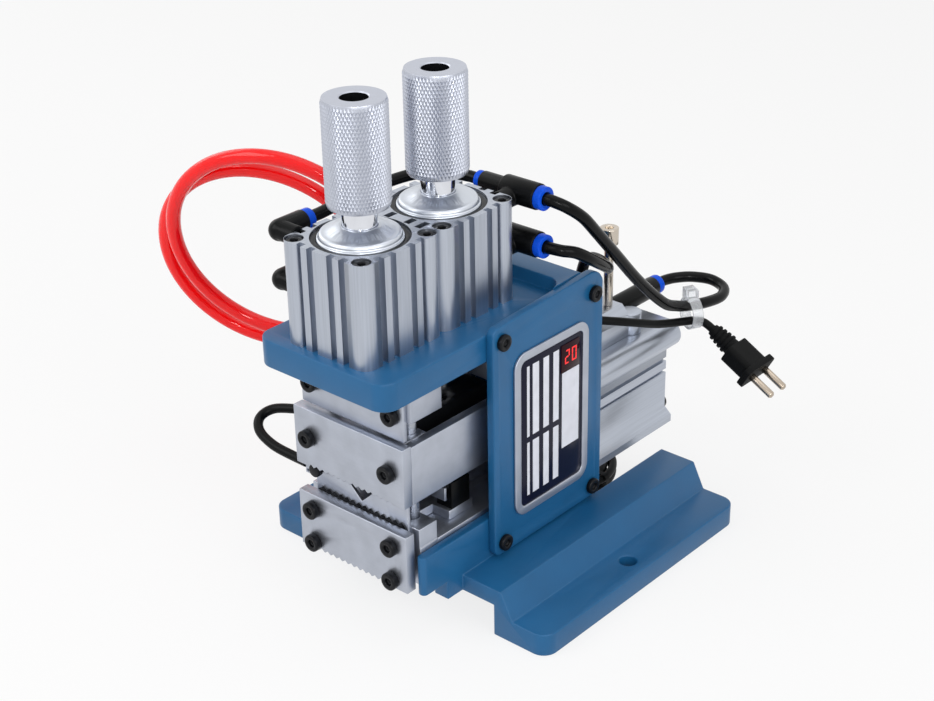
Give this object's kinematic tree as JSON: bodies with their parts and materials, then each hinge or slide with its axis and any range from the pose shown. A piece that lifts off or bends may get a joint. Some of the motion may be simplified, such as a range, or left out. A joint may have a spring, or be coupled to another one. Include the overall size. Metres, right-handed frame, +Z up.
{
  "type": "pneumatic wire stripping machine",
  "caption": "Bench wire stripper: upright air cylinders close toothed jaws and vee blades on a wire, and a lying air cylinder pulls the blades back to strip it",
  "frame": {"origin": "midway between the two bench bolt holes of the base, on its underside", "axes": "X to the right as the operator faces the jaws, Y to the back, Z up"},
  "size_m": [0.304, 0.29, 0.2635],
  "materials": {
    "blue_paint": "blue gloss paint",
    "aluminium": "milled and anodised",
    "steel": "ground",
    "chrome_rod": "hard chrome",
    "black_steel": "black oxide",
    "nickel": "nickel plate",
    "black_plastic": "moulded",
    "blue_plastic": "moulded",
    "overlay_film": "printed film",
    "display_red": "clear red window",
    "red_hose": "polyurethane tube",
    "black_rubber": "satin",
    "brass": "bright",
    "clear_plastic": "clear strap"
  },
  "bodies": {
    "frame": {"base_casting": "blue_paint", "bed_plate": "aluminium", "right_side_plate": "blue_paint", "left_side_plate": "blue_paint", "top_plate": "blue_paint", "rear_plate": "blue_paint", "side_plate_screws": "black_steel", "control_bezel": "aluminium", "control_overlay": "overlay_film", "display_window": "display_red", "clamp_cylinder": "aluminium", "blade_cylinder": "aluminium", "cylinder_caps": "aluminium", "snap_rings": "black_steel", "cylinder_bolts": "black_steel", "guide_block": "aluminium", "keeper_plate": "aluminium", "guide_posts": "steel", "lower_jaw_block": "aluminium", "lower_clamp_blade": "steel", "lower_front_plate": "aluminium", "wire_guide_plate": "aluminium", "front_screws": "black_steel", "strip_cylinder": "aluminium", "strip_end_cap": "aluminium", "valve_manifold": "aluminium", "valve_coils": "black_plastic", "stop_screw": "nickel", "elbow_fittings": "black_plastic", "release_collars": "blue_plastic", "air_tubes": "black_plastic", "red_hose": "red_hose", "cord_grommet": "black_rubber", "mains_lead": "black_rubber", "mains_coil": "black_rubber", "plug_body": "black_plastic", "plug_pins": "brass", "cord_tie": "clear_plastic", "sensor_lead": "black_rubber"},
    "clamp_ram": {"clamp_rod": "chrome_rod", "clamp_piston": "steel", "clamp_jaw_block": "aluminium", "clamp_side_bars": "aluminium", "clamp_rear_block": "aluminium", "upper_front_plate": "aluminium", "upper_clamp_blade": "steel", "upper_plate_screws": "black_steel"},
    "clamp_knob_body": {"clamp_knob": "aluminium"},
    "blade_ram": {"blade_rod": "chrome_rod", "blade_piston": "steel"},
    "blade_knob_body": {"blade_knob": "aluminium"},
    "strip_carriage": {"carriage_plate": "aluminium", "carriage_posts": "steel", "lower_blade": "steel", "strip_rod": "chrome_rod", "strip_piston": "steel", "trigger_switch": "black_plastic"},
    "upper_blade_slide": {"upper_blade_holder": "black_steel", "upper_blade": "steel"},
    "trigger": {"trigger_feeler": "aluminium"}
  },
  "joints": [
    {"name": "clamp_stroke", "type": "slide", "parent": "frame", "child": "clamp_ram", "axis": [0, 0, -1], "range_m": [0, 0.008]},
    {"name": "clamp_knob_turn", "type": "hinge", "parent": "clamp_ram", "child": "clamp_knob_body", "pos_m": [0, -0.095, 0.238], "axis": [0, 0, 1], "continuous": true},
    {"name": "blade_stroke", "type": "slide", "parent": "frame", "child": "blade_ram", "axis": [0, 0, -1], "range_m": [0, 0.008]},
    {"name": "blade_knob_turn", "type": "hinge", "parent": "blade_ram", "child": "blade_knob_body", "pos_m": [0, -0.043, 0.238], "axis": [0, 0, 1], "continuous": true},
    {"name": "strip_stroke", "type": "slide", "parent": "frame", "child": "strip_carriage", "axis": [0, 1, 0], "range_m": [0, 0.025]},
    {"name": "upper_blade_drop", "type": "slide", "parent": "strip_carriage", "child": "upper_blade_slide", "axis": [0, 0, -1], "range_m": [0, 0.008]},
    {"name": "trigger_push", "type": "slide", "parent": "strip_carriage", "child": "trigger", "axis": [0, 1, 0], "range_m": [0, 0.003], "stiffness_N_per_m": 200}
  ],
  "couplings": [
    {"joint": "upper_blade_drop", "follows": "blade_stroke", "ratio": 1}
  ]
}
